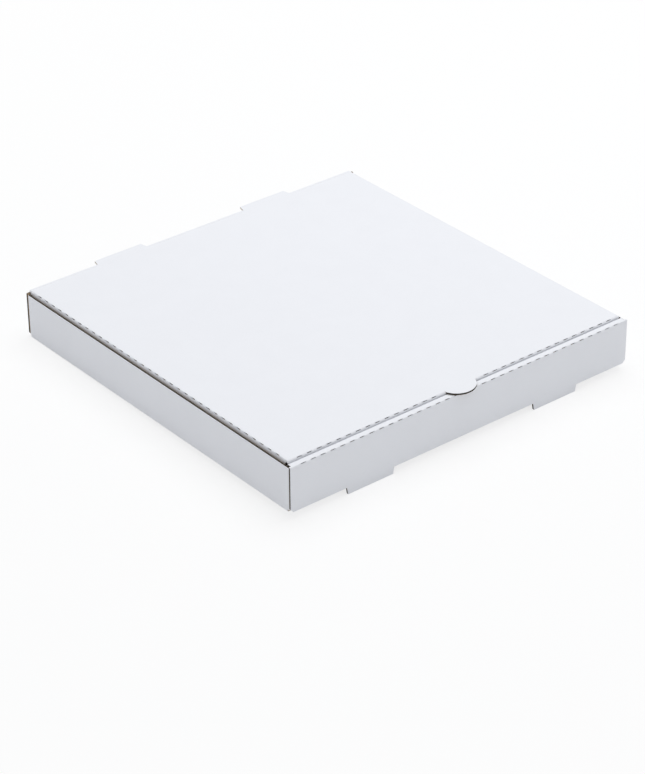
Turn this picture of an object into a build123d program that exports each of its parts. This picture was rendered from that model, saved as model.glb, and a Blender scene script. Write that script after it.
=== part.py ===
"""Plain corrugated pizza box: a tray with a rolled-over front wall, and the lid hinged on its back wall.

Millimetres, +Z up. The front wall faces -Y, and the origin is the centre of the tray's underside.
"""

import os
from math import hypot

from build123d import *

# Outside of the closed box, with its side walls a little lower than its front
WIDTH = 330.0
DEPTH = 330.0
WALL_HEIGHT = 38.2
SIDE_WALL_HEIGHT = 37.0

# Board, its folds and the room between free layers
BOARD = 1.6
CREASE_RADIUS = 0.7
SIDE_TUCK_RADIUS = 1.2
FRONT_TUCK_RADIUS = 1.4
HINGE_RADIUS = 0.5
FOLD_REACH = 12.0
CLEARANCE = 0.3

# Rolled-over front wall: the slack is over and above the three layers of board that it holds
ROLL_SLACK = 0.7
LOCK_TAB_WIDTH = 38.0
LOCK_TAB_TAPER = 2.0

# Flaps that turn the four corners behind the front and back walls
CORNER_FLAP = 46.0
CORNER_FLAP_TAPER = 6.0
CORNER_CHAMFER = 3.0

# Lugs cut out of the base, which hang below the front wall
FRONT_LUG_CENTRE = 91.0
FRONT_LUG_WIDTH = 44.5
FRONT_LUG_DROP = 5.5
FRONT_LUG_TAPER = 1.0

# Lugs cut out of the back wall, which stand out behind the lid and leave the vents
REAR_LUG_CENTRE = 73.0
REAR_LUG_WIDTH = 48.0
REAR_LUG_REACH = 6.0
REAR_LUG_TAPER = 1.5

# Lid and its tuck flaps
LID_RISE = 0.2
LID_SIDE_GAP = 1.2
LID_FRONT_GAP = 0.7
FRONT_FLAP_DEPTH = 17.0
FRONT_FLAP_TAPER = 8.0
SIDE_FLAP_DEPTH = 22.0
SIDE_FLAP_FRONT_GAP = 2.0
SIDE_FLAP_REAR_GAP = 4.0
SIDE_FLAP_TAPER = 12.0

# Half-moon thumb tab, cut out of the front tuck flap
THUMB_CHORD = 29.0
THUMB_REACH = 10.2

# Dashes cut through the creases that fold sharpest
DASH_LENGTH = 4.5
DASH_WIDTH = 0.55
DASH_PITCH = 9.0
DASH_MARGIN = 6.0

# Places that follow from the sizes above
SIDE = WIDTH / 2
FRONT = -DEPTH / 2
BACK = DEPTH / 2
ROLL = 3 * BOARD + ROLL_SLACK
SIDE_INSIDE = SIDE - BOARD - CLEARANCE
CORNER_FRONT = FRONT + BOARD + CLEARANCE
LID_UNDER = WALL_HEIGHT + LID_RISE
LID_TOP = LID_UNDER + BOARD
LID_SIDE = SIDE - BOARD - LID_SIDE_GAP
LID_FRONT = FRONT + ROLL + LID_FRONT_GAP
THUMB_RADIUS = (THUMB_CHORD**2 / 4 + THUMB_REACH**2) / (2 * THUMB_REACH)


def folded(points, radius=CREASE_RADIUS):
    """Section of board folded square along the line of its outer face, with the board on the line's right."""
    line = [Vector(*point) for point in points]
    inward = [(end - start).normalized().rotate(Axis.Z, -90) for start, end in zip(line, line[1:])]
    shifts = [inward[0], *(one + other for one, other in zip(inward, inward[1:])), inward[-1]]
    inner = [point + shift * BOARD for point, shift in zip(line, shifts)]
    section = polygon(line + inner[::-1])
    bends = [v for v in section.vertices() if any((v.center() - p).length < BOARD / 10 for p in line[1:-1])]
    return fillet(bends, radius)


def across(section, half_length):
    """A section drawn on YZ, run to both sides across the box."""
    return extrude(Plane.YZ * section, half_length, both=True)


def along(section, half_length):
    """A section drawn on XZ, run to the front and to the back."""
    return extrude(Plane.XZ * section, half_length, both=True)


def upright(outline, y_low):
    """A flat panel of board with an outline drawn on XZ, from y_low backwards."""
    return Pos(0, y_low, 0) * extrude(Plane.XZ * outline, -BOARD)


def polygon(points):
    """A face with straight edges through the points."""
    return make_face(Polyline(*points, close=True))


def block(x, y, z):
    """A block given by its low and high ends along each axis."""
    size = Box(x[1] - x[0], y[1] - y[0], z[1] - z[0], align=Align.MIN)
    return Pos(x[0], y[0], z[0]) * size


def both_sides(shape):
    """The shape and its mirror image on the other side of the box."""
    return shape + mirror(shape, Plane.YZ)


def dash_places(low, high):
    """Middles of the dashes along a crease, evenly spaced and centred between its ends."""
    room = high - low - 2 * DASH_MARGIN - DASH_LENGTH
    steps = int(room // DASH_PITCH)
    first = (low + high - steps * DASH_PITCH) / 2
    return [first + step * DASH_PITCH for step in range(steps + 1)]


def dash_cutter():
    """Cutter for one dash of a crease that runs along X through the origin, set square to the fold."""
    return Rot(45, 0, 0) * Box(DASH_LENGTH, DASH_WIDTH, 4 * BOARD)


def wall_outline(top):
    """Front or back wall seen face on, with its lower corners cut off."""
    return polygon([
        (-SIDE, CORNER_CHAMFER),
        (-SIDE + CORNER_CHAMFER, 0),
        (SIDE - CORNER_CHAMFER, 0),
        (SIDE, CORNER_CHAMFER),
        (SIDE, top),
        (-SIDE, top),
    ])


def corner_relief(y_low, y_high):
    """Room at both ends of a wall, between its outer panel and the base, where the side walls stand."""
    return both_sides(block((SIDE_INSIDE, SIDE + BOARD), (y_low, y_high), (-BOARD, LID_TOP)))


def base_and_side_walls():
    """The base and the two side walls, folded as one run between the corner folds."""
    section = folded([(SIDE, SIDE_WALL_HEIGHT), (SIDE, 0), (-SIDE, 0), (-SIDE, SIDE_WALL_HEIGHT)])
    return along(section, -CORNER_FRONT - BOARD)


def corner_flap():
    """Upright fold at the front of the left side wall, with the flap that it carries."""
    section = folded([
        (-SIDE + CORNER_FLAP, CORNER_FRONT),
        (-SIDE, CORNER_FRONT),
        (-SIDE, CORNER_FRONT + FOLD_REACH),
    ])
    inside, tip = -SIDE + BOARD, -SIDE + CORNER_FLAP
    low, high = BOARD + CLEARANCE, WALL_HEIGHT - BOARD - CLEARANCE
    outline = polygon([
        (-SIDE, low),
        (tip - CORNER_FLAP_TAPER, low),
        (tip, low + CORNER_FLAP_TAPER),
        (tip, high - CORNER_FLAP_TAPER),
        (tip - CORNER_FLAP_TAPER, high),
        (inside, high),
        (inside, SIDE_WALL_HEIGHT),
        (-SIDE, SIDE_WALL_HEIGHT),
    ])
    return extrude(section, SIDE_WALL_HEIGHT) & along(outline, DEPTH)


def front_wall():
    """Outer panel, top strip and inner panel of the front wall, folded from the base as one hook."""
    section = folded([
        (FRONT + FOLD_REACH, 0),
        (FRONT, 0),
        (FRONT, WALL_HEIGHT),
        (FRONT + ROLL, WALL_HEIGHT),
        (FRONT + ROLL, BOARD + CLEARANCE),
    ])
    wall = across(section, SIDE) & along(wall_outline(WALL_HEIGHT), DEPTH)
    wall -= corner_relief(FRONT + BOARD, FRONT + FOLD_REACH)
    return wall - [Pos(x, FRONT, WALL_HEIGHT) * dash_cutter() for x in dash_places(-SIDE, SIDE)]


def front_lug():
    """Right lug of the front wall, in the plane of its outer panel."""
    half = FRONT_LUG_WIDTH / 2
    tip = half - FRONT_LUG_TAPER
    outline = polygon([
        (-half, BOARD),
        (-half, 0),
        (-tip, -FRONT_LUG_DROP),
        (tip, -FRONT_LUG_DROP),
        (half, 0),
        (half, BOARD),
    ])
    return Pos(FRONT_LUG_CENTRE, 0, 0) * upright(outline, FRONT)


def lock_tab():
    """Right tab of the front wall's inner panel, which holds it down in the slot that the lug left."""
    half = LOCK_TAB_WIDTH / 2
    tip = half - LOCK_TAB_TAPER
    outline = polygon([
        (-half, 2 * BOARD + CLEARANCE),
        (-half, BOARD),
        (-tip, 0),
        (tip, 0),
        (half, BOARD),
        (half, 2 * BOARD + CLEARANCE),
    ])
    return Pos(FRONT_LUG_CENTRE, 0, 0) * upright(outline, FRONT + ROLL - BOARD)


def base_slot():
    """Right slot in the base, where the front lug was cut out."""
    low, high = FRONT_LUG_CENTRE - FRONT_LUG_WIDTH / 2, FRONT_LUG_CENTRE + FRONT_LUG_WIDTH / 2
    return block((low, high), (FRONT + BOARD, FRONT + ROLL + CLEARANCE), (-BOARD, BOARD + CLEARANCE / 2))


def back_wall():
    """Back wall with its fold to the base, up to the crease of the lid."""
    top = LID_UNDER - CLEARANCE
    section = folded([(BACK, top), (BACK, 0), (BACK - FOLD_REACH, 0)])
    wall = across(section, SIDE) & along(wall_outline(top), DEPTH)
    wall -= corner_relief(BACK - FOLD_REACH, BACK - BOARD)
    return wall - both_sides(vent())


def vent():
    """Right slot in the top of the back wall, with room for the rear lug to swing through."""
    half = REAR_LUG_WIDTH / 2 + CLEARANCE
    floor = LID_TOP - hypot(REAR_LUG_REACH, BOARD) - CLEARANCE
    outline = polygon([
        (REAR_LUG_CENTRE - half, LID_TOP),
        (REAR_LUG_CENTRE - half + REAR_LUG_TAPER, floor),
        (REAR_LUG_CENTRE + half - REAR_LUG_TAPER, floor),
        (REAR_LUG_CENTRE + half, LID_TOP),
    ])
    return Pos(0, BACK, 0) * along(outline, 2 * BOARD)


def tray():
    """The whole lower sheet: base, walls, corner flaps, lugs and lock tabs."""
    sheet = base_and_side_walls() + front_wall() + back_wall()
    corners = both_sides(corner_flap())
    sheet += corners + mirror(corners, Plane.XZ)
    sheet -= both_sides(base_slot())
    return sheet + both_sides(front_lug()) + both_sides(lock_tab())


def lid_panel():
    """Top of the lid with its round rear crease and side tuck flaps, stepped over the corner flaps."""
    low = LID_TOP - SIDE_FLAP_DEPTH
    line = [(-LID_SIDE, low), (-LID_SIDE, LID_TOP), (LID_SIDE, LID_TOP), (LID_SIDE, low)]
    flap_front = LID_FRONT + SIDE_FLAP_FRONT_GAP
    flap_back = BACK - SIDE_FLAP_REAR_GAP
    step_back = BACK - BOARD - CLEARANCE
    step = WALL_HEIGHT - BOARD
    outline = polygon([
        (LID_FRONT + BOARD, LID_TOP),
        (LID_FRONT + BOARD, LID_UNDER),
        (flap_front, LID_UNDER),
        (flap_front + SIDE_FLAP_TAPER, low),
        (flap_back - SIDE_FLAP_TAPER, low),
        (flap_back, step),
        (step_back, step),
        (step_back, LID_UNDER),
        (BACK, LID_UNDER),
        (BACK, LID_TOP),
    ])
    panel = along(folded(line, SIDE_TUCK_RADIUS), DEPTH) & across(outline, SIDE)
    rear_edge = panel.edges().filter_by(Axis.X).group_by(Axis.Y)[-1].sort_by(Axis.Z)[-1]
    return fillet(rear_edge, HINGE_RADIUS)


def front_flap():
    """Front tuck flap with its fold to the lid, less the half-moon that makes the thumb tab."""
    low = LID_TOP - FRONT_FLAP_DEPTH
    line = [(LID_FRONT, low), (LID_FRONT, LID_TOP), (LID_FRONT + FOLD_REACH, LID_TOP)]
    outline = polygon([
        (-LID_SIDE, LID_TOP),
        (-LID_SIDE, LID_UNDER),
        (-LID_SIDE + FRONT_FLAP_TAPER, low),
        (LID_SIDE - FRONT_FLAP_TAPER, low),
        (LID_SIDE, LID_UNDER),
        (LID_SIDE, LID_TOP),
    ])
    rounded = fillet(outline.vertices().group_by(Axis.Y)[-1], SIDE_TUCK_RADIUS)
    flap = across(folded(line, FRONT_TUCK_RADIUS), SIDE) & along(rounded, DEPTH)
    half_moon = Pos(0, LID_TOP - THUMB_REACH + THUMB_RADIUS) * Circle(THUMB_RADIUS)
    return flap - upright(half_moon, LID_FRONT)


def thumb_tab():
    """Half-moon tab in the plane of the lid, standing out over the rolled front wall."""
    disc = Pos(0, LID_FRONT - THUMB_REACH + THUMB_RADIUS) * Circle(THUMB_RADIUS)
    root = LID_FRONT + FOLD_REACH
    ahead = Pos(0, root - FOLD_REACH / 2 - THUMB_REACH) * Rectangle(THUMB_CHORD, FOLD_REACH + 2 * THUMB_REACH)
    return Pos(0, 0, LID_UNDER) * extrude(disc & ahead, BOARD)


def rear_lug():
    """Right lug behind the lid, in the plane of the lid."""
    half = REAR_LUG_WIDTH / 2
    tip = half - REAR_LUG_TAPER
    outline = polygon([
        (-half, BACK - FOLD_REACH),
        (half, BACK - FOLD_REACH),
        (half, BACK),
        (tip, BACK + REAR_LUG_REACH),
        (-tip, BACK + REAR_LUG_REACH),
        (-half, BACK),
    ])
    return Pos(REAR_LUG_CENTRE, 0, LID_UNDER) * extrude(outline, BOARD)


def lid_dashes():
    """Cutters for the perforated creases of the front and side tuck flaps, on the right half of the lid."""
    front = dash_places(THUMB_CHORD / 2, LID_SIDE)
    side = dash_places(LID_FRONT + SIDE_FLAP_FRONT_GAP, BACK - SIDE_FLAP_REAR_GAP)
    turned = Rot(0, 0, 90) * dash_cutter()
    return [
        *(Pos(x, LID_FRONT, LID_TOP) * dash_cutter() for x in front),
        *(Pos(LID_SIDE, y, LID_TOP) * turned for y in side),
    ]


def lid():
    """The whole upper sheet: lid, tuck flaps, thumb tab and rear lugs."""
    sheet = lid_panel() + front_flap() + thumb_tab() + both_sides(rear_lug())
    return sheet - [cutter for right in lid_dashes() for cutter in (right, mirror(right, Plane.YZ))]


def main():
    """Write one file for each piece of the box."""
    os.makedirs("parts", exist_ok=True)
    for name, piece in (("tray", tray()), ("lid", lid())):
        export_step(piece, f"parts/{name}.step")


if __name__ == "__main__":
    main()
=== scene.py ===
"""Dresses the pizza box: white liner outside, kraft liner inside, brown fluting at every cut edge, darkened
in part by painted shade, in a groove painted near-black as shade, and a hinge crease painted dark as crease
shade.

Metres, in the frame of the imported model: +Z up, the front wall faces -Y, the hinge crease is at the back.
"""

import logging
import math
from dataclasses import dataclass, field
from enum import Enum, IntEnum
from functools import cache
from typing import Any, Callable, Iterable, Optional, Union

import bmesh
import bpy
from bmesh.types import BMesh, BMFace, BMVert
from mathutils import Matrix, Vector


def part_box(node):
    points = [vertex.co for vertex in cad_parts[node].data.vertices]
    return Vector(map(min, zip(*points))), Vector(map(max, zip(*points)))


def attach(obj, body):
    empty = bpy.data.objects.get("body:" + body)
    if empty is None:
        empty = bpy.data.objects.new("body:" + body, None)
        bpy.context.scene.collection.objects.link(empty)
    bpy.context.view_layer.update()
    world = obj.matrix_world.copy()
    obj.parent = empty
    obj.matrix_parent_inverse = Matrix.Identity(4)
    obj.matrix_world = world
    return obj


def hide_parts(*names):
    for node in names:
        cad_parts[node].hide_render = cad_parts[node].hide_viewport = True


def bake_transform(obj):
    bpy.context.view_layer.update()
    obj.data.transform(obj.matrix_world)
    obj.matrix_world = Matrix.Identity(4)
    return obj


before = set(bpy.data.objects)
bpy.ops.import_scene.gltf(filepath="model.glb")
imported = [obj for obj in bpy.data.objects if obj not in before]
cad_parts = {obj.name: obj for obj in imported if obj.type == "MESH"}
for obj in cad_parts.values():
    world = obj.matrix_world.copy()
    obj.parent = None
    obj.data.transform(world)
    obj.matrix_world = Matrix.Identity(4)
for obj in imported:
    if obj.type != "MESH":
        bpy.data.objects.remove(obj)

LOG = logging.getLogger("pizza_box")
MM = 0.001
BOARD_UV = "board"
AXES = (Vector((1, 0, 0)), Vector((0, 1, 0)), Vector((0, 0, 1)))
LEAN_SLACK = 1e-4
WHITE = (1.0, 1.0, 1.0)

Colour = tuple[float, float, float]
Stretch = tuple[float, float, float]
Plane = tuple[int, int, float]
Input = Union["Value", bpy.types.NodeSocket, float, int, tuple]


class Skin(IntEnum):
    """What a face of the board shows, in the order of the material slots."""

    OUTER = 0
    INNER = 1
    CUT = 2
    # Dark cut kraft: the inner liner's rim at cut edges, and painted crease shade on the hinge crease.
    CORE = 3
    # The groove between the liners, painted near-black as shade in the hollow.
    GROOVE = 4


class Axis(IntEnum):
    """Axis of the model that a flute or a normal follows."""

    X = 0
    Y = 1
    Z = 2


class Operation(Enum):
    """Operations of a Math node that the finishes use."""

    ADD = "ADD"
    MAXIMUM = "MAXIMUM"
    MULTIPLY = "MULTIPLY"
    SINE = "SINE"
    SUBTRACT = "SUBTRACT"


class Kind(Enum):
    """Shader nodes that the finishes use."""

    BUMP = "ShaderNodeBump"
    COORDINATES = "ShaderNodeTexCoord"
    DIFFUSE = "ShaderNodeBsdfDiffuse"
    EMISSION = "ShaderNodeEmission"
    LIGHT_PATH = "ShaderNodeLightPath"
    MAPPING = "ShaderNodeMapping"
    MATH = "ShaderNodeMath"
    MIX = "ShaderNodeMix"
    MIX_SHADER = "ShaderNodeMixShader"
    NOISE = "ShaderNodeTexNoise"
    OUTPUT = "ShaderNodeOutputMaterial"
    PRINCIPLED = "ShaderNodeBsdfPrincipled"
    SEPARATE = "ShaderNodeSeparateXYZ"
    UV = "ShaderNodeUVMap"
    WORLD_BACKGROUND = "ShaderNodeBackground"
    WORLD_OUTPUT = "ShaderNodeOutputWorld"


class Value:
    """A number that varies over a surface, for use in plain expressions."""

    def __init__(self, graph: "Graph", socket: bpy.types.NodeSocket) -> None:
        """Wraps an output socket of the graph."""
        self.graph = graph
        self.socket = socket

    def _math(self, operation: Operation, first: Input, second: Input = 0.0) -> "Value":
        """Result of one new Math node for the two sides."""
        node = self.graph.add(Kind.MATH, {"operation": operation.value}, {0: first, 1: second})
        return Value(self.graph, node.outputs[0])

    def __add__(self, other: Input) -> "Value":
        """Sum."""
        return self._math(Operation.ADD, self, other)

    def __radd__(self, other: Input) -> "Value":
        """Sum, from the right."""
        return self._math(Operation.ADD, other, self)

    def __sub__(self, other: Input) -> "Value":
        """Difference."""
        return self._math(Operation.SUBTRACT, self, other)

    def __rsub__(self, other: Input) -> "Value":
        """Difference, from the right."""
        return self._math(Operation.SUBTRACT, other, self)

    def __mul__(self, other: Input) -> "Value":
        """Product."""
        return self._math(Operation.MULTIPLY, self, other)

    def __rmul__(self, other: Input) -> "Value":
        """Product, from the right."""
        return self._math(Operation.MULTIPLY, other, self)

    def wave(self) -> "Value":
        """Sine of the value."""
        return self._math(Operation.SINE, self)

    def highest(self, other: Input) -> "Value":
        """The greater of the two."""
        return self._math(Operation.MAXIMUM, self, other)


class Graph:
    """The node tree of one material or of the world."""

    def __init__(self, tree: bpy.types.NodeTree) -> None:
        """Empties the tree and takes it over."""
        self.tree = tree
        tree.nodes.clear()

    def add(self, kind: Kind, settings: Optional[dict[str, Any]] = None,
            inputs: Optional[dict[Union[str, int], Input]] = None) -> bpy.types.Node:
        """Adds a node.

        Args:
            kind: Type of the node.
            settings: Properties of the node, which are set first.
            inputs: Constants or links for its input sockets, by name or number.

        Returns:
            The new node.
        """
        node = self.tree.nodes.new(kind.value)
        for name, setting in (settings or {}).items():
            setattr(node, name, setting)
        for key, source in (inputs or {}).items():
            socket = source.socket if isinstance(source, Value) else source
            if isinstance(socket, bpy.types.NodeSocket):
                self.tree.links.new(socket, node.inputs[key])
            else:
                node.inputs[key].default_value = socket
        return node

    def noise(self, place: bpy.types.NodeSocket, size: float, detail: float,
              stretch: Stretch = (1, 1, 1)) -> Value:
        """Soft noise from 0 to 1.

        Args:
            place: Coordinates, in metres.
            size: Size of its features, in metres.
            detail: Number of finer layers.
            stretch: How much tighter the features lie along each coordinate.

        Returns:
            The noise.
        """
        mapped = self.add(Kind.MAPPING, {}, {"Vector": place, "Scale": stretch})
        node = self.add(Kind.NOISE, {"noise_dimensions": "3D"},
                        {"Vector": mapped.outputs["Vector"], "Scale": 1 / size, "Detail": detail})
        return Value(self, node.outputs["Fac"])

    def blend(self, low: Input, high: Input, share: Input) -> bpy.types.NodeSocket:
        """Colour between two others.

        Args:
            low: Colour at share 0.
            high: Colour at share 1.
            share: Share of the second colour.

        Returns:
            The colour's socket.
        """
        node = self.add(Kind.MIX, {"data_type": "RGBA"}, {"Factor": share})
        for name, colour in (("A", low), ("B", high)):
            socket = next(s for s in node.inputs if s.name == name and s.type == "RGBA")
            if isinstance(colour, bpy.types.NodeSocket):
                self.tree.links.new(colour, socket)
            else:
                socket.default_value = (*colour, 1.0)
        return next(s for s in node.outputs if s.type == "RGBA")

    def separate(self, vector: bpy.types.NodeSocket) -> tuple[Value, Value, Value]:
        """The three parts of a vector."""
        node = self.add(Kind.SEPARATE, {}, {"Vector": vector})
        return tuple(Value(self, socket) for socket in node.outputs)

    def surface(self, colour: Input, roughness: Input, height: Value,
                depth: float, specular: float) -> None:
        """Ends the tree in one board surface.

        Args:
            colour: Base colour.
            roughness: Roughness.
            height: Relief from 0 to 1.
            depth: Height of the relief, in metres.
            specular: Specular level.
        """
        bump = self.add(Kind.BUMP, {}, {"Height": height, "Strength": 1.0, "Distance": depth})
        shader = self.add(Kind.PRINCIPLED, {}, {
            "Base Color": colour, "Roughness": roughness,
            "Normal": bump.outputs["Normal"], "Specular IOR Level": specular,
        })
        self.add(Kind.OUTPUT, {}, {"Surface": shader.outputs["BSDF"]})


def new_material(name: str) -> tuple[bpy.types.Material, Graph]:
    """Starts a material.

    Args:
        name: Name of the material.

    Returns:
        The material and its empty graph.
    """
    made = bpy.data.materials.new(name)
    made.use_nodes = True
    return made, Graph(made.node_tree)


def new_piece(name: str, mesh: BMesh, materials: Iterable[bpy.types.Material]) -> bpy.types.Object:
    """Turns a finished bmesh into an object at the origin.

    Args:
        name: Name of the piece.
        mesh: Its bmesh, which is freed.
        materials: Its materials, in slot order.

    Returns:
        The object, linked to the scene.
    """
    data = bpy.data.meshes.new(name)
    mesh.to_mesh(data)
    mesh.free()
    for material in materials:
        data.materials.append(material)
    made = bpy.data.objects.new(name, data)
    bpy.context.scene.collection.objects.link(made)
    return made


def flat_plane(face: BMFace) -> Optional[Plane]:
    """The plane of a face that is square to the model.

    Args:
        face: Face of the board.

    Returns:
        Axis, sign and offset of the plane, or None if the face leans.
    """
    axis = max(Axis, key=lambda a: abs(face.normal[a]))
    if abs(face.normal[axis]) < 1 - LEAN_SLACK:
        return None
    return int(axis), int(math.copysign(1, face.normal[axis])), face.verts[0].co[axis]


def area(faces: Iterable[BMFace]) -> float:
    """Area of some faces together."""
    return sum(face.calc_area() for face in faces)


@dataclass(frozen=True)
class Board:
    """Fluted board: two liners, and a wave of paper between them.

    Attributes:
        thickness: Whole thickness.
        liner: Rim that each liner shows at a cut edge.
        medium: Thickness of the wave's paper.
        pitch: Length of one wave.
        groove: Depth of the groove between the liners at a cut edge.
    """

    thickness: float = 1.6 * MM
    liner: float = 0.26 * MM
    medium: float = 0.15 * MM
    pitch: float = 3.2 * MM
    groove: float = 0.9 * MM

    @property
    def swing(self) -> float:
        """How far the wave's middle line goes to each side."""
        return self.thickness / 2 - self.liner - self.medium / 2

    def wave(self, place: float) -> float:
        """Offset of the wave at a place across the flutes."""
        return self.swing * math.sin(math.tau * place / self.pitch)


@dataclass(frozen=True)
class PaperFinish:
    """A paper surface with mottling, fibres and the faint washboard of the flutes under it.

    Attributes:
        name: Name of the material.
        pale: Colour of the pale patches.
        dark: Colour of the dark patches.
        fibre: Colour of the loose fibres.
        fibre_share: How strongly the fibres show.
        roughness: Mean roughness.
        specular: Specular level.
        relief: Height of the relief.
        washboard: Share of the flutes in the relief.
        cloud_size: Size of the broad patches.
        cloud_detail: Finer layers of the broad patches.
        cloud_share: Share of the broad patches in the mottling, the rest being grain.
        grain_size: Size of the grain.
        grain_detail: Finer layers of the grain.
        grain_height: Share of the grain in the relief.
        fibre_size: Width of the fibres.
        fibre_detail: Finer layers of the fibres.
        fibre_height: Share of the fibres in the relief.
        fibre_stretch: Tightness of the fibres along and across the flutes.
        strand_level: Noise above which a fibre lies loose.
        strand_contrast: How sharply a loose fibre stands out.
        roughness_swing: How far the mottling moves the roughness.
    """

    name: str
    pale: Colour
    dark: Colour
    fibre: Colour
    fibre_share: float
    roughness: float
    specular: float
    relief: float
    washboard: float
    cloud_size: float = 22 * MM
    cloud_detail: float = 3.0
    cloud_share: float = 0.6
    grain_size: float = 1.1 * MM
    grain_detail: float = 2.0
    grain_height: float = 0.35
    fibre_size: float = 0.9 * MM
    fibre_detail: float = 1.0
    fibre_height: float = 0.25
    fibre_stretch: Stretch = (0.16, 1.0, 1.0)
    strand_level: float = 0.62
    strand_contrast: float = 6.0
    roughness_swing: float = 0.12

    @cache
    def material(self, board: Board) -> bpy.types.Material:
        """Makes the material.

        Args:
            board: Board whose flutes show through.

        Returns:
            The material.
        """
        made, graph = new_material(self.name)
        place = graph.add(Kind.COORDINATES).outputs["Object"]
        flat = graph.add(Kind.UV, {"uv_map": BOARD_UV}).outputs["UV"]
        clouds = graph.noise(place, self.cloud_size, self.cloud_detail)
        grain = graph.noise(place, self.grain_size, self.grain_detail)
        fibres = graph.noise(flat, self.fibre_size, self.fibre_detail, self.fibre_stretch)
        _, across, _ = graph.separate(flat)
        ridges = (across * (math.tau / board.pitch)).wave() * 0.5 + 0.5
        mottle = clouds * self.cloud_share + grain * (1 - self.cloud_share)
        paper = graph.blend(self.dark, self.pale, mottle)
        strands = ((fibres - self.strand_level) * self.strand_contrast).highest(0.0) * self.fibre_share
        colour = graph.blend(paper, self.fibre, strands)
        height = ridges * self.washboard + grain * self.grain_height + fibres * self.fibre_height
        rough = self.roughness + (mottle - 0.5) * self.roughness_swing
        graph.surface(colour, rough, height, self.relief, self.specular)
        return made


@dataclass(frozen=True)
class CutFinish:
    """Paper cut through, with torn fibres along the cut.

    Attributes:
        name: Name of the material.
        pale: Colour of the pale fibres.
        dark: Colour of the dark fibres.
        roughness: Roughness.
        specular: Specular level.
        relief: Height of the relief.
        grain_size: Size of the torn fibres.
        grain_detail: Finer layers of the fibres.
        grain_level: Noise at which the fibres are darkest.
        grain_contrast: How quickly they turn pale above that level.
    """

    name: str
    pale: Colour
    dark: Colour
    roughness: float = 0.9
    specular: float = 0.2
    relief: float = 0.06 * MM
    grain_size: float = 0.7 * MM
    grain_detail: float = 3.0
    grain_level: float = 0.35
    grain_contrast: float = 3.0

    @cache
    def material(self) -> bpy.types.Material:
        """Makes the material.

        Returns:
            The material.
        """
        made, graph = new_material(self.name)
        place = graph.add(Kind.COORDINATES).outputs["Object"]
        grain = graph.noise(place, self.grain_size, self.grain_detail)
        colour = graph.blend(self.dark, self.pale, (grain - self.grain_level) * self.grain_contrast)
        graph.surface(colour, self.roughness, grain, self.relief, self.specular)
        return made


WHITE_LINER = PaperFinish(
    name="white_liner", pale=(0.875, 0.885, 0.92), dark=(0.835, 0.845, 0.88), fibre=(0.78, 0.79, 0.82),
    fibre_share=0.25, roughness=0.62, specular=0.3, relief=0.02 * MM, washboard=0.5,
)
KRAFT_LINER = PaperFinish(
    name="kraft_liner", pale=(0.48, 0.345, 0.225), dark=(0.385, 0.268, 0.168), fibre=(0.26, 0.17, 0.10),
    fibre_share=0.7, roughness=0.82, specular=0.15, relief=0.05 * MM, washboard=0.8,
)
CUT_PAPER = CutFinish("cut_paper", pale=(0.80, 0.755, 0.69), dark=(0.64, 0.58, 0.50))
# Dark brown of the inner liner's cut edge, also laid on the hinge crease's faces as painted crease shade.
CUT_KRAFT_AND_CREASE_SHADE = CutFinish("cut_kraft_and_crease_shade", pale=(0.24, 0.19, 0.14), dark=(0.15, 0.118, 0.085))
# Near-black brown of the groove between the liners: painted shade in the hollow, over the brown of the
# paper.
GROOVE_BROWN_AND_SHADE = CutFinish("groove_brown_and_shade", pale=(0.075, 0.060, 0.045), dark=(0.040, 0.032, 0.024))
# Fluting paper: kraft brown, darkened well below the kraft liner by painted shade of the hollows between
# the liners.
FLUTE_PAPER_AND_SHADE = CutFinish("flute_paper_and_shade", pale=(0.18, 0.148, 0.112), dark=(0.105, 0.085, 0.064))


@dataclass(frozen=True)
class FluteRun:
    """A straight cut that crosses the flutes, so that their ends show in it.

    Attributes:
        start: First end of the cut, midway between the liners.
        end: Other end of the cut.
        flute: Direction of the flutes, out of the board.
        face: Direction from one liner to the other.
    """

    start: Vector
    end: Vector
    flute: Vector
    face: Vector

    def place(self, board: Board, along: float, deep: float) -> Vector:
        """Point of the board's wave at a share of the run and a depth under the cut, in metres."""
        point = self.start.lerp(self.end, along) - self.flute * deep
        return point + self.face * board.wave(point.dot(self.flute.cross(self.face)))


@dataclass
class Fluting:
    """The wave of paper between the liners, where cut edges show it.

    Attributes:
        name: Name of the piece.
        body: Body that it rides on.
        board: Board with the wave.
        sunk: Depth of the wave's end under the cut.
        steps_in_wave: Faces in the length of one wave.
        fewest_steps: Faces in the shortest stretch.
        mesh: Mesh of all its stretches.
    """

    name: str
    body: str
    board: Board
    sunk: float = 0.25 * MM
    steps_in_wave: int = 8
    fewest_steps: int = 2
    mesh: BMesh = field(default_factory=bmesh.new)

    def ribbon(self, length: float, place: Callable[[float, float], Vector]) -> None:
        """Adds one stretch of the wave.

        Args:
            length: Length of the cut.
            place: Gives the point at a share of the length and a depth.
        """
        half_side = 0.5
        steps = max(self.fewest_steps, round(length / self.board.pitch * self.steps_in_wave))
        grid = bmesh.ops.create_grid(self.mesh, x_segments=steps, y_segments=1, size=half_side)
        for vert in grid["verts"]:
            deep = self.sunk if vert.co.y > 0 else self.board.groove
            vert.co = place(vert.co.x + half_side, deep)
        faces = list({face for vert in grid["verts"] for face in vert.link_faces})
        bmesh.ops.recalc_face_normals(self.mesh, faces=faces)
        bmesh.ops.solidify(self.mesh, geom=faces, thickness=self.board.medium)

    def run(self, run: FluteRun) -> None:
        """Adds the wave of one straight cut."""
        self.ribbon((run.end - run.start).length, lambda along, deep: run.place(self.board, along, deep))

    def piece(self) -> bpy.types.Object:
        """Makes the object, dressed and riding on its body.

        Returns:
            The object.
        """
        made = new_piece(self.name, self.mesh, [FLUTE_PAPER_AND_SHADE.material()])
        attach(made, self.body)
        return made


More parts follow.
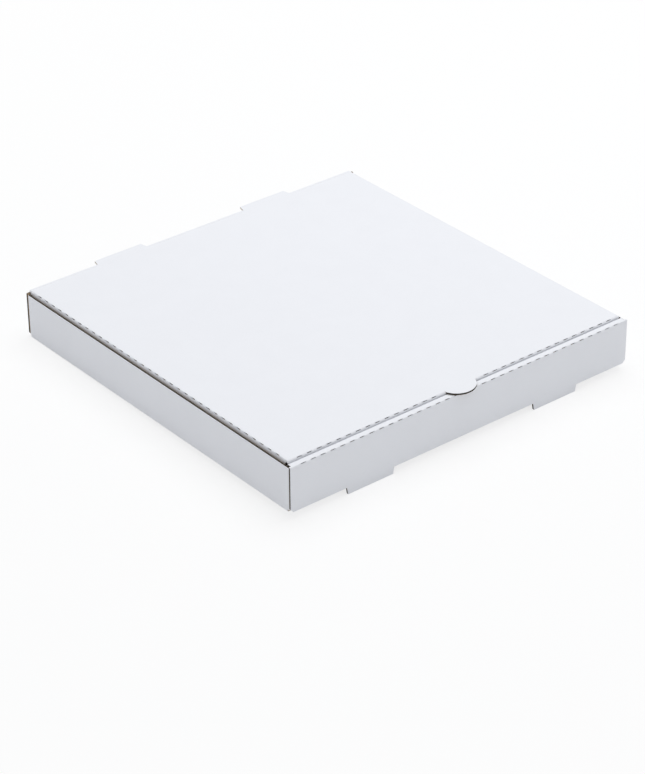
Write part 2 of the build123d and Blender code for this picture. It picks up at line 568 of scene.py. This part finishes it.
@dataclass
class FoldedSheet:
    """One node of the box as folded board, with its liners told apart and its cut edges opened.

    Attributes:
        node: Name of the node.
        outer_side: Side that its largest outer panel faces.
        board: Its board.
        creased_plane: Plane of its faces at the hinge crease, which take the dark cut kraft as painted
            crease shade.
        upright_planes: Depths of the faces of the corner flaps, whose flutes stand upright.
        bend_limit: Sharpest edge within one surface, as an angle.
        flat_limit: Slack of what counts as flat, or as facing the outer side.
        plane_slack: Slack of what counts as lying on a plane.
        merge_distance: Distance within which corners of triangles are one point.
        slit_area: Largest cut of a crease's dashes, which stay closed.
        sliver_area: Largest cut face that is too small for a groove.
        crushed_length: Longest cut end that is crushed shut.
        strip_width: Widest cut of a single board, in thicknesses.
        flute_lean: Least share of the flutes' direction in a cut's normal where their ends show.
        mesh: Its mesh.
    """

    node: str
    outer_side: Vector
    board: Board
    creased_plane: Plane
    upright_planes: tuple[float, ...] = ()
    bend_limit: float = math.radians(40)
    flat_limit: float = 0.01
    plane_slack: float = 0.02 * MM
    merge_distance: float = 0.001 * MM
    slit_area: float = 30 * MM * MM
    sliver_area: float = 1.5 * MM * MM
    crushed_length: float = 4 * MM
    strip_width: float = 1.2
    flute_lean: float = 0.45
    mesh: BMesh = field(default_factory=bmesh.new)

    def load(self) -> None:
        """Takes a copy of the node's mesh, with its triangles merged into whole faces."""
        self.mesh.from_mesh(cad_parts[self.node].data)
        bmesh.ops.remove_doubles(self.mesh, verts=self.mesh.verts, dist=self.merge_distance)
        bmesh.ops.dissolve_limit(self.mesh, angle_limit=self.flat_limit,
                                 verts=self.mesh.verts, edges=self.mesh.edges)
        for face in self.mesh.faces:
            face.material_index = Skin.CUT

    def sort_faces(self) -> None:
        """Tells the liners and the hinge crease from the cut edges, and paints the hinge crease dark as
        painted crease shade.
        """
        facing = [f for f in self.mesh.faces if f.normal.dot(self.outer_side) > 1 - self.flat_limit]
        outer = self._reached(max(facing, key=BMFace.calc_area), self.bend_limit)
        backs = {(axis, -sign, offset - sign * self.board.thickness)
                 for axis, sign, offset in filter(None, map(flat_plane, outer))}
        for face in self.mesh.faces:
            # The hinge crease's faces take the dark cut kraft: painted crease shade.
            if self._lies_on(face, [self.creased_plane]):
                face.material_index = Skin.CORE
            elif face in outer:
                face.material_index = Skin.OUTER
            elif self._lies_on(face, backs):
                face.material_index = Skin.INNER
            face.smooth = face in outer and flat_plane(face) is None

    @staticmethod
    def _reached(start: BMFace, limit: float, among: Optional[set[BMFace]] = None) -> set[BMFace]:
        """Faces that a finger reaches from the start without crossing a sharp edge.

        Args:
            start: First face.
            limit: Sharpest edge that the finger crosses, as an angle.
            among: Faces that may belong, or None for all.

        Returns:
            The joined faces, the first included.
        """
        found, waiting = {start}, [start]
        while waiting:
            for edge in waiting.pop().edges:
                if edge.calc_face_angle(math.pi) <= limit:
                    fresh = {f for f in edge.link_faces if among is None or f in among} - found
                    found |= fresh
                    waiting += fresh
        return found

    def _lies_on(self, face: BMFace, planes: Iterable[Plane]) -> bool:
        """Whether a face lies on one of the planes.

        Args:
            face: Face of the board.
            planes: Axis, sign and offset of each plane.

        Returns:
            True if it does.
        """
        own = flat_plane(face)
        return own is not None and any(
            own[:2] == plane[:2] and abs(own[2] - plane[2]) < self.plane_slack for plane in planes)

    def flute_of(self, face: BMFace) -> Vector:
        """Direction of the flutes in the panel that a face belongs to.

        Args:
            face: Face of the board.

        Returns:
            The direction.
        """
        axis = max(Axis, key=lambda a: abs(face.normal[a]))
        upright = axis == Axis.X or (axis == Axis.Y and self._is_upright(face.calc_center_median().y))
        return AXES[Axis.Z] if upright else AXES[Axis.X]

    def _is_upright(self, y: float) -> bool:
        """Whether a panel at this depth of the box has upright flutes, as the corner flaps do."""
        return any(abs(abs(y) - plane) < self.plane_slack for plane in self.upright_planes)

    def flute_runs(self) -> list[FluteRun]:
        """Finds the straight cuts that cross the flutes."""
        runs = [self._run_of(face) for face in self.mesh.faces if face.material_index == Skin.CUT]
        return [run for run in runs if run]

    def _run_of(self, face: BMFace) -> Optional[FluteRun]:
        """The flute run in one cut face.

        Args:
            face: Cut face.

        Returns:
            Its run, or None where it has no flute ends or isn't a plain strip.
        """
        longest = max(face.edges, key=lambda edge: edge.calc_length())
        along = (longest.verts[1].co - longest.verts[0].co).normalized()
        across = face.normal.cross(along)
        spans = [[vert.co.dot(axis) for vert in face.verts] for axis in (along, across)]
        (first, last), (low, high) = ((min(span), max(span)) for span in spans)
        flute = self.flute_of(next(f for f in longest.link_faces if f is not face))
        lean = face.normal.dot(flute)
        widest = self.strip_width * self.board.thickness
        if last - first < self.crushed_length or high - low > widest or abs(lean) < self.flute_lean:
            return None
        middle = face.normal * face.verts[0].co.dot(face.normal) + across * (high + low) / 2
        inset = self.board.liner
        return FluteRun(middle + along * (first + inset), middle + along * (last - inset),
                        flute * math.copysign(1, lean), across)

    def open_edges(self) -> None:
        """Opens the cut edges between the liners, but not the dashes and the crushed ends."""
        cuts = {face for face in self.mesh.faces if face.material_index == Skin.CUT}
        large = set()
        for region in self._groups(cuts, math.pi):
            if area(region) > self.slit_area:
                large |= {face for face in region if face.calc_area() > self.sliver_area}
            else:
                for face in region:
                    face.material_index = Skin.OUTER
        for strip in self._groups(large, self.bend_limit):
            if area(strip) >= self.crushed_length * self.board.thickness:
                self._sink_groove(strip)

    def _sink_groove(self, strip: list[BMFace]) -> None:
        """Sinks a groove into one cut edge, leaves a rim of liner round it and paints the groove near-black
        as painted shade.

        Args:
            strip: Joined faces of the cut edge.
        """
        ring = bmesh.ops.inset_region(self.mesh, faces=strip, thickness=self.board.liner,
                                      use_boundary=True, use_even_offset=True)["faces"]
        sides = [min(other.material_index for edge in face.edges for other in edge.link_faces)
                 for face in ring]
        for face, side in zip(ring, sides):
            face.material_index = Skin.CORE if side == Skin.INNER else side
        bmesh.ops.inset_region(self.mesh, faces=strip, thickness=0.0, depth=-self.board.groove,
                               use_boundary=True)
        # The groove's faces take the near-black groove finish: painted shade in the hollow between the
        # liners.
        for face in {other for face in strip for edge in face.edges for other in edge.link_faces}:
            face.material_index = Skin.GROOVE

    def _groups(self, cuts: Iterable[BMFace], limit: float) -> list[list[BMFace]]:
        """Sorts cut faces into joined groups.

        Args:
            cuts: Faces to sort.
            limit: Sharpest edge inside a group, as an angle.

        Returns:
            The groups.
        """
        cuts = set(cuts)
        groups = []
        while cuts:
            groups.append(list(self._reached(next(iter(cuts)), limit, cuts)))
            cuts.difference_update(groups[-1])
        return groups

    def map_flutes(self) -> None:
        """Writes each face's places along and across the flutes, in metres."""
        layer = self.mesh.loops.layers.uv.new(BOARD_UV)
        for face in self.mesh.faces:
            flute = self.flute_of(face)
            normal = max(AXES, key=lambda axis: abs(face.normal.dot(axis)))
            across = next((axis for axis in AXES if axis not in (flute, normal)), AXES[Axis.Y])
            for loop in face.loops:
                loop[layer].uv = (loop.vert.co.dot(flute), loop.vert.co.dot(across))

    def piece(self) -> bpy.types.Object:
        """Makes the dressed object, which stands for the node.

        Returns:
            The object.
        """
        finishes = [WHITE_LINER.material(self.board), KRAFT_LINER.material(self.board),
                    CUT_PAPER.material(), CUT_KRAFT_AND_CREASE_SHADE.material(), GROOVE_BROWN_AND_SHADE.material()]
        made = new_piece(f"{self.node}_board", self.mesh, finishes)
        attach(made, self.node)
        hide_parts(self.node)
        return made

    def build(self) -> list[bpy.types.Object]:
        """Builds the sheet and the fluting in its cut edges.

        Returns:
            The two objects.
        """
        self.load()
        self.sort_faces()
        fluting = Fluting(f"{self.node}_fluting", self.node, self.board)
        for run in self.flute_runs():
            fluting.run(run)
        self.add_fluting(fluting)
        self.open_edges()
        self.map_flutes()
        return [self.piece(), fluting.piece()]

    def add_fluting(self, fluting: Fluting) -> None:
        """Adds the waves of round cuts, on a sheet that has them."""


@dataclass
class Lid(FoldedSheet):
    """The lid, with its tuck flaps, thumb tab and rear lugs.

    Attributes:
        thumb_chord: Width of the half-moon thumb tab at its root.
        thumb_reach: How far the tab stands out.
        rim_share: Share of the tab's rim that shows the wave.
        rim_detail: Faces along the rim, as a multiple of those on a straight cut.
    """

    node: str = "lid"
    outer_side: Vector = field(default_factory=lambda: AXES[Axis.Z])
    board: Board = field(default_factory=Board)
    creased_plane: Plane = (Axis.Y, 1, 165 * MM)
    crushed_length: float = 8 * MM
    thumb_chord: float = 29 * MM
    thumb_reach: float = 10.2 * MM
    rim_share: float = 0.97
    rim_detail: float = 2.0

    def add_fluting(self, fluting: Fluting) -> None:
        """Adds the wave along the rim of the thumb tab.

        Args:
            fluting: Piece that takes the wave.
        """
        low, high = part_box(self.node)
        radius = (self.thumb_chord ** 2 / 4 + self.thumb_reach ** 2) / (2 * self.thumb_reach)
        centre = Vector((0, low.y + radius, high.z - self.board.thickness / 2))
        reach = math.asin(self.thumb_chord / 2 / radius) * self.rim_share

        def rim(along: float, deep: float) -> Vector:
            """Point of the wave along the rim.

            Args:
                along: Share of the rim.
                deep: Depth under the cut, in metres.

            Returns:
                The point.
            """
            turn = (2 * along - 1) * reach
            point = centre + Vector((math.sin(turn), -math.cos(turn), 0)) * (radius - deep)
            return point + AXES[Axis.Z] * self.board.wave(point.y)

        fluting.ribbon(self.rim_detail * 2 * radius * reach, rim)


@dataclass
class Tray(FoldedSheet):
    """The tray, with its rolled front wall, corner flaps and lugs."""

    node: str = "tray"
    outer_side: Vector = field(default_factory=lambda: -AXES[Axis.Z])
    board: Board = field(default_factory=Board)
    creased_plane: Plane = (Axis.Z, 1, 38.1 * MM)
    upright_planes: tuple[float, ...] = (163.1 * MM, 161.5 * MM)


@dataclass
class HingeCrease:
    """The board's liners where they run from the back wall over the crease to the lid.

    Attributes:
        name: Name of the piece.
        liner: Thickness of the strip.
        below: How far it runs down the back wall.
        ahead: How far it runs forward on the lid.
        bend: Radius of the crease.
        bend_steps: Faces round the crease.
        lug_centre: Distance of each rear lug from the middle.
        lug_width: Width of the gap that each lug needs in the strip.
        end_gap: Distance of the strip's ends from the lid's sides.
        rest_gap: Height of the strip over the board.
        sharp_angle: Least angle of an edge that stays sharp.
    """

    name: str = "hinge_crease"
    liner: float = 0.12 * MM
    below: float = 3.0 * MM
    ahead: float = 2.4 * MM
    bend: float = 0.5 * MM
    bend_steps: int = 6
    lug_centre: float = 73 * MM
    lug_width: float = 49.4 * MM
    end_gap: float = 2.0 * MM
    rest_gap: float = 0.02 * MM
    sharp_angle: float = math.radians(40)

    def profile(self) -> list[Vector]:
        """Points from the back wall, round the crease, to the top of the lid.

        Returns:
            The points, in the middle of the box.
        """
        _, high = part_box("lid")
        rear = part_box("tray")[1].y + self.rest_gap
        top = high.z + self.rest_gap
        reach = self.bend + self.rest_gap
        points = [Vector((0, rear, top - self.below))]
        for step in range(self.bend_steps + 1):
            turn = math.pi / 2 * step / self.bend_steps
            points.append(Vector((0, rear - reach + reach * math.cos(turn),
                                  top - reach + reach * math.sin(turn))))
        points.append(Vector((0, rear - self.ahead, top)))
        return points

    def spans(self) -> list[tuple[float, float]]:
        """Stretches of the crease beside and between the rear lugs.

        Returns:
            Left and right end of each stretch.
        """
        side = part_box("lid")[1].x - self.end_gap
        inner, outer = self.lug_centre - self.lug_width / 2, self.lug_centre + self.lug_width / 2
        return [(-side, -outer), (-inner, inner), (outer, side)]

    @staticmethod
    def _pull(mesh: BMesh, points: list[Vector], low: float, high: float) -> None:
        """Pulls the profile along one stretch.

        Args:
            mesh: Mesh that takes the faces.
            points: The profile.
            low: Left end of the stretch.
            high: Right end of the stretch.
        """
        verts = [mesh.verts.new(point + AXES[Axis.X] * low) for point in points]
        edges = [mesh.edges.new(pair) for pair in zip(verts, verts[1:])]
        pulled = bmesh.ops.extrude_edge_only(mesh, edges=edges)
        moved = [item for item in pulled["geom"] if isinstance(item, BMVert)]
        bmesh.ops.translate(mesh, verts=moved, vec=AXES[Axis.X] * (high - low))

    @staticmethod
    def _map_flutes(mesh: BMesh) -> None:
        """Writes each face's places along and across the flutes, in metres, and smooths the faces.

        Args:
            mesh: Mesh of the strip.
        """
        layer = mesh.loops.layers.uv.new(BOARD_UV)
        for face in mesh.faces:
            face.smooth = True
            for loop in face.loops:
                loop[layer].uv = (loop.vert.co.x, loop.vert.co.z)

    def _tell_liners(self, mesh: BMesh) -> None:
        """Makes the outside white, the inside kraft and the rims sharp.

        Args:
            mesh: Mesh of the strip, with its thickness.
        """
        mesh.normal_update()
        for face in mesh.faces:
            face.material_index = Skin.INNER if face.normal.y + face.normal.z < 0 else Skin.OUTER
        for edge in mesh.edges:
            edge.smooth = edge.calc_face_angle(math.pi) < self.sharp_angle

    def build(self) -> bpy.types.Object:
        """Builds the crease.

        Returns:
            The dressed object.
        """
        mesh = bmesh.new()
        points = self.profile()
        for low, high in self.spans():
            self._pull(mesh, points, low, high)
        bmesh.ops.recalc_face_normals(mesh, faces=mesh.faces)
        if mesh.faces[0].normal.y < 0:
            bmesh.ops.reverse_faces(mesh, faces=mesh.faces)
        self._map_flutes(mesh)
        bmesh.ops.solidify(mesh, geom=mesh.faces, thickness=self.liner)
        self._tell_liners(mesh)
        made = new_piece(self.name, mesh, [WHITE_LINER.material(Board()), KRAFT_LINER.material(Board())])
        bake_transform(made)
        return made


@dataclass
class Studio:
    """Pale floor, even sky, one broad lamp and the camera of the photograph.

    Attributes:
        azimuth: Turn of the camera about the box, from its front.
        elevation: Rise of the camera over the level.
        roll: Turn of the camera about its own line of sight.
        distance: Distance of the camera from the point that it aims at.
        aim_right: How far that point lies to the right of the origin, in the picture.
        aim_up: How far that point lies above the origin, in the picture.
        focal_pixels: Focal length, in pixels of the photograph.
        image_height: Height of the photograph, in pixels.
        sensor: Longer side of the sensor, in millimetres.
        lug_drop: How far the front lugs hang below the base.
        floor_size: Side of the floor.
        floor_colour: Colour of the floor.
        shadow_share: Share of its own light and shade that the floor shows under the box.
        shadow_reach: Distance at which that share has faded out.
        sky: Colour of the sky.
        sky_strength: Strength of the sky.
        lamp_power: Power of the lamp, in watts.
        lamp_size: Diameter of the lamp.
        lamp_place: Place of the lamp.
    """

    azimuth: float = math.radians(-38.95)
    elevation: float = math.radians(30.96)
    roll: float = math.radians(-0.44)
    distance: float = 2.183
    aim_right: float = -0.0013
    aim_up: float = -0.0297
    focal_pixels: float = 2800.0
    image_height: float = 774.0
    sensor: float = 36.0
    lug_drop: float = 5.5 * MM
    floor_size: float = 6.0
    floor_colour: Colour = (0.97, 0.972, 0.975)
    shadow_share: float = 0.25
    shadow_reach: float = 1.0
    sky: Colour = (0.965, 0.98, 1.0)
    sky_strength: float = 0.545
    lamp_power: float = 23.0
    lamp_size: float = 2.2
    lamp_place: Vector = field(default_factory=lambda: Vector((0.5, 0.22, 1.87)))

    def floor(self) -> None:
        """Floor under the lug tips and the rear edge, seen as white but for the shadow on it."""
        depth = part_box("tray")[1].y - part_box("tray")[0].y
        mesh = bmesh.new()
        bmesh.ops.create_grid(mesh, x_segments=1, y_segments=1, size=self.floor_size / 2)
        drop = Matrix.Translation((0, 0, -self.lug_drop / 2))
        tilt = Matrix.Rotation(math.atan2(self.lug_drop, depth), 4, "X")
        bmesh.ops.transform(mesh, matrix=drop @ tilt, verts=mesh.verts)
        made = new_piece("floor", mesh, [self._floor_material()])

    def _floor_material(self) -> bpy.types.Material:
        """White to the camera, with a part of its own light and shade left in near the box.

        Returns:
            The material.
        """
        made, graph = new_material("studio_floor")
        plain = graph.add(Kind.DIFFUSE, {}, {"Color": (*self.floor_colour, 1.0)})
        white = graph.add(Kind.EMISSION, {}, {"Color": (*WHITE, 1.0), "Strength": 1.0})
        x, y, _ = graph.separate(graph.add(Kind.COORDINATES).outputs["Object"])
        near = (1 - (x * x + y * y) * self.shadow_reach ** -2).highest(0.0)
        share = self._seen(graph) * (1 - near * self.shadow_share)
        mixed = graph.add(Kind.MIX_SHADER, {}, {0: share, 1: plain.outputs[0], 2: white.outputs[0]})
        graph.add(Kind.OUTPUT, {}, {"Surface": mixed.outputs[0]})
        return made

    @staticmethod
    def _seen(graph: Graph) -> Value:
        """1 for rays that show the background: straight to the camera, mirrored or through glass.

        Args:
            graph: Graph that takes the nodes.

        Returns:
            1 or 0.
        """
        rays = graph.add(Kind.LIGHT_PATH)
        camera, glossy, through = (Value(graph, rays.outputs[name])
                                   for name in ("Is Camera Ray", "Is Glossy Ray", "Is Transmission Ray"))
        return camera.highest(glossy).highest(through)

    def sky_light(self) -> None:
        """World: even light on the object, white where it is seen."""
        world = bpy.data.worlds.new("studio")
        bpy.context.scene.world = world
        world.use_nodes = True
        graph = Graph(world.node_tree)
        light = graph.add(Kind.WORLD_BACKGROUND, {},
                          {"Color": (*self.sky, 1.0), "Strength": self.sky_strength})
        white = graph.add(Kind.WORLD_BACKGROUND, {}, {"Color": (*WHITE, 1.0), "Strength": 1.0})
        mixed = graph.add(Kind.MIX_SHADER, {},
                          {0: self._seen(graph), 1: light.outputs[0], 2: white.outputs[0]})
        graph.add(Kind.WORLD_OUTPUT, {}, {"Surface": mixed.outputs[0]})

    def lamp(self) -> None:
        """One broad lamp overhead."""
        data = bpy.data.lights.new("overhead", "AREA")
        data.shape = "DISK"
        data.size = self.lamp_size
        data.energy = self.lamp_power
        lamp = bpy.data.objects.new("overhead", data)
        lamp.location = self.lamp_place
        lamp.rotation_euler = (-self.lamp_place).to_track_quat("-Z", "Y").to_euler()
        bpy.context.scene.collection.objects.link(lamp)

    def camera(self) -> None:
        """Camera at the photograph's angle."""
        turn, rise = self.azimuth, self.elevation
        back = Vector((math.sin(turn) * math.cos(rise), -math.cos(turn) * math.cos(rise), math.sin(rise)))
        level = Vector((math.cos(turn), math.sin(turn), 0))
        upward = back.cross(level)
        right = level * math.cos(self.roll) + upward * math.sin(self.roll)
        up = upward * math.cos(self.roll) - level * math.sin(self.roll)
        data = bpy.data.cameras.new("camera")
        data.sensor_width = self.sensor
        data.lens = self.focal_pixels * self.sensor / self.image_height
        camera = bpy.data.objects.new("camera", data)
        camera.matrix_world = Matrix((right, up, back)).transposed().to_4x4()
        camera.location = right * self.aim_right + up * self.aim_up + back * self.distance
        bpy.context.scene.collection.objects.link(camera)
        bpy.context.scene.camera = camera

    def build(self) -> None:
        """Sets up the studio."""
        self.floor()
        self.sky_light()
        self.lamp()
        self.camera()
        bpy.context.scene.view_settings.view_transform = "Standard"


def main() -> None:
    """Builds the dressed box and the studio around it, and reports each piece."""
    logging.basicConfig(level=logging.INFO, format="%(name)s %(message)s")
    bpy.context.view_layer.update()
    pieces = [*Tray().build(), *Lid().build(), HingeCrease().build()]
    Studio().build()
    for piece in pieces:
        LOG.info("%s: %d faces", piece.name, len(piece.data.polygons))


if __name__ == "__main__":
    main()
